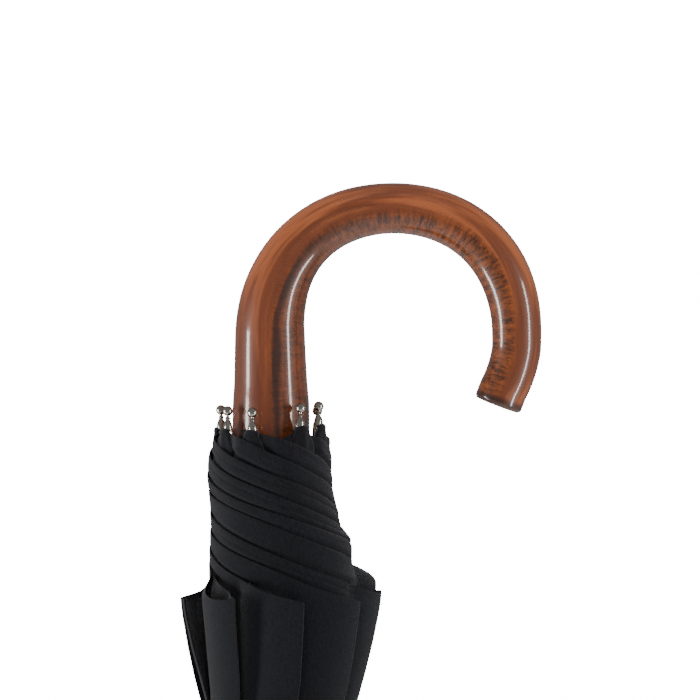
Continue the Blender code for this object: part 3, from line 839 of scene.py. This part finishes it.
def close_strap(*things):
    """The strap goes with its gore."""
    for thing in things:
        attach(thing, "canopy_1_a")
        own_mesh(thing)


def make_cloth():
    paint = cloth()
    strap = [make_strap(cloth("strap_cloth", 1.15))]
    strap.append(make_stud(metal("stud_nickel", (176, 172, 166), 0.16)))
    close_strap(*strap)
    for index in range(RIBS):
        sewn = {"a": [make_pocket(index, paint)], "b": [make_ribbon(index, paint)]}
        if index == 0:
            sewn["a"] += strap
        for half, extras in sewn.items():
            piece = make_half(index, half, paint)


# Rib tips, ferrule and the finish of the pieces that keep their own shape

BALL = 2.0
NECK = (
    (0.74, -1.62), (0.66, -1.95), (0.72, -2.35), (1.02, -2.6), (1.08, -2.9), (0.86, -3.15),
    (0.9, -3.6), (1.25, -4.2), (1.62, -4.9), (1.86, -5.7), (1.98, -6.6), (2.05, -7.4),
    (1.7, -7.55), (1.2, -7.2),
)
# Rings of one leg: height from the ball, distance sideways, half depth outward, half width.
LEG = (
    (-6.4, 1.25, 0.9, 0.34), (-7.4, 1.6, 1.15, 0.36), (-8.6, 1.78, 1.25, 0.32),
    (-10.5, 1.86, 1.25, 0.3), (-15, 1.86, 1.2, 0.3), (-18.6, 1.86, 1.1, 0.3),
)
LEG_SIDES = 16


def rounded(value):
    """A sine or cosine that is drawn out into the sides of a rounded rectangle."""
    return math.copysign(abs(value) ** 0.6, value)


def add_leg(build, ball, along, out, side, way):
    """One leg of the socket, on the side that way (1 or -1) points to."""
    rings = []
    for height, centre, half_out, half_side in LEG:
        middle = ball + (along * height + side * way * centre) * MM
        ring = []
        for i in range(LEG_SIDES):
            a = math.radians(360 / LEG_SIDES * i)
            spoke = out * half_out * rounded(math.sin(a)) + side * half_side * rounded(math.cos(a))
            ring.append(build.verts.new(middle + spoke * MM))
        rings.append(ring)
    for low, high in zip(rings, rings[1:]):
        for i in range(LEG_SIDES):
            k = (i + 1) % LEG_SIDES
            build.faces.new((low[i], low[k], high[k], high[i]))
    build.faces.new(rings[0])
    build.faces.new(rings[-1])


def make_rib_tip(index, finish):
    """A turned ball and neck on a socket that splits into two legs with an arch between them."""
    ball, along = tip_ends(index)
    out = np.array(outward(math.degrees(math.atan2(ball[0], -ball[1]))))
    out -= along * out.dot(along)
    out /= np.linalg.norm(out)
    side = np.cross(along, out)
    arc = np.radians(range(4, 152, 12))
    profile = [*zip(BALL * np.sin(arc), BALL * np.cos(arc)), *NECK]
    steps = 40
    turn = np.radians(np.arange(steps) * 360 / steps)
    rings = []
    for radius, height in profile:
        oval = 1.0 - 0.12 * smooth((-height - 4) / 3)
        spokes = np.outer(np.cos(turn), side) + np.outer(np.sin(turn), out) * oval
        rings.append(ball + (spokes * radius + along * height) * MM)
    faces = tube_faces(len(profile), steps)
    tip = new_object(f"tip_ball_{index + 1}", np.concatenate(rings), faces, sharp=50)
    build = bmesh.new()
    build.from_mesh(tip.data)
    for way in (-1, 1):
        add_leg(build, ball, along, out, side, way)
    bmesh.ops.recalc_face_normals(build, faces=build.faces)
    build.to_mesh(tip.data)
    build.free()
    tip.data.shade_smooth()
    tip.data.set_sharp_from_angle(angle=math.radians(45))
    tip.data.materials.append(finish)
    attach(tip, f"rib_{index + 1}")
    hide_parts(f"rib_tip_{index + 1}")


FERRULE = {
    "ferrule_tip": [
        (0, 0), (4.9, 0), (5.4, 0.15), (5.8, 0.6), (6.1, 1.4), (6.4, 4), (6.9, 9), (7.35, 15.6),
        (7.4, 16.2), (7.4, 26.6), (7.3, 27.4), (7.0, 27.9), (6.5, 28), (6.5, 9), (0, 9),
    ],
    "ferrule_tube": [(5.3, 9.3), (6.1, 9.3), (6.2, 9.6), (6.2, 98.2), (6.1, 98.5), (5.3, 98.5)],
    "open_cap": [
        (6.5, 80), (7.1, 79.95), (7.4, 80.3), (7.6, 83), (8.1, 86.4), (9.1, 90), (10.4, 93.1),
        (11.4, 94.7), (12.0, 95.6), (11.95, 96.1), (11.5, 96.4), (10.6, 95.2), (9.6, 94), (8.0, 91),
        (7.0, 89), (6.5, 88),
    ],
}


def make_ferrule(finish):
    for node, profile in FERRULE.items():
        piece = turned("turned_" + node, profile)
        piece.data.set_sharp_from_angle(angle=math.radians(55))
        piece.data.materials.append(finish)
        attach(piece, "shaft")
        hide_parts(node)


ROSETTE_Z = 99.9


def make_rosette(paint):
    """A scalloped disc of the same cloth between the cap and the crown."""
    steps, rings = 96, (5.3, 6.5, 7.6, 8.3, 8.8, 9.0)
    turn = np.arange(steps) * 360 / steps
    scallop = 1 + 0.035 * np.cos(np.radians(turn * 16))
    points = []
    for n, radius in enumerate(rings):
        wave = 0.25 * np.sin(np.radians(turn * 8)) * n / 5
        edge = radius * (1 + (scallop - 1) * n / 5)
        points.append(from_polar(edge, turn, ROSETTE_Z + wave * 0.5 - 0.02 * n))
    points = np.concatenate(points)
    disc = new_object("cloth_rosette", points, tube_faces(len(rings), steps, capped=False), sharp=0)
    put_vectors(disc, "thread_mm", points / MM)
    thicken(disc, 0.35)
    disc.data.materials.append(paint)
    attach(disc, "shaft")
    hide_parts("rosette")


def make_cuff(paint):
    """The short sleeve of cloth between the rosette and the foot of the gores."""
    steps = 96
    turn = np.arange(steps) * 360 / steps
    rings = [(7.6, 100.35), (8.9, 100.5), (9.7, 101.0), (10.1, 101.8), (10.2, 103.6)]
    gathers = 0.12 * np.cos(np.radians(turn * 24))
    points = np.concatenate([from_polar(radius + gathers, turn, z) for radius, z in rings])
    cuff = new_object("crown_cuff", points, tube_faces(len(rings), steps, capped=False), sharp=0)
    put_vectors(cuff, "thread_mm", points / MM)
    thicken(cuff, 0.3)
    cuff.data.materials.append(paint)
    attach(cuff, "shaft")


def finish_nodes():
    steel = metal("shaft_plating", (178, 178, 180), 0.2)
    wire = metal("drawn_wire", (150, 150, 153), 0.3)
    lacquer = plastic("black_lacquer", 16, 0.28)
    moulded = plastic("black_moulding", 18, 0.5)
    finishes = {
        "shaft_steel": steel, "wire_steel": wire, "rib_steel": lacquer, "moulding": moulded,
    }
    for part in frame["record"]["subparts"]:
        node = frame["nodes"][part["node"]]
        if part["material_slot"] in finishes and not node.hide_render:
            node.data.materials.clear()
            node.data.materials.append(finishes[part["material_slot"]])
            node.data.shade_smooth()
            node.data.set_sharp_from_angle(angle=math.radians(35))


def make_hardware():
    nickel = metal("tip_nickel", (196, 188, 177), 0.17)
    for index in range(RIBS):
        make_rib_tip(index, nickel)
    make_ferrule(metal("ferrule_plating", (186, 184, 180), 0.14))
    make_rosette(bpy.data.materials["cloth"])
    make_cuff(bpy.data.materials["cloth"])
    finish_nodes()


make_camera()
make_stage()
make_world()
make_handle()
make_cloth()
make_hardware()
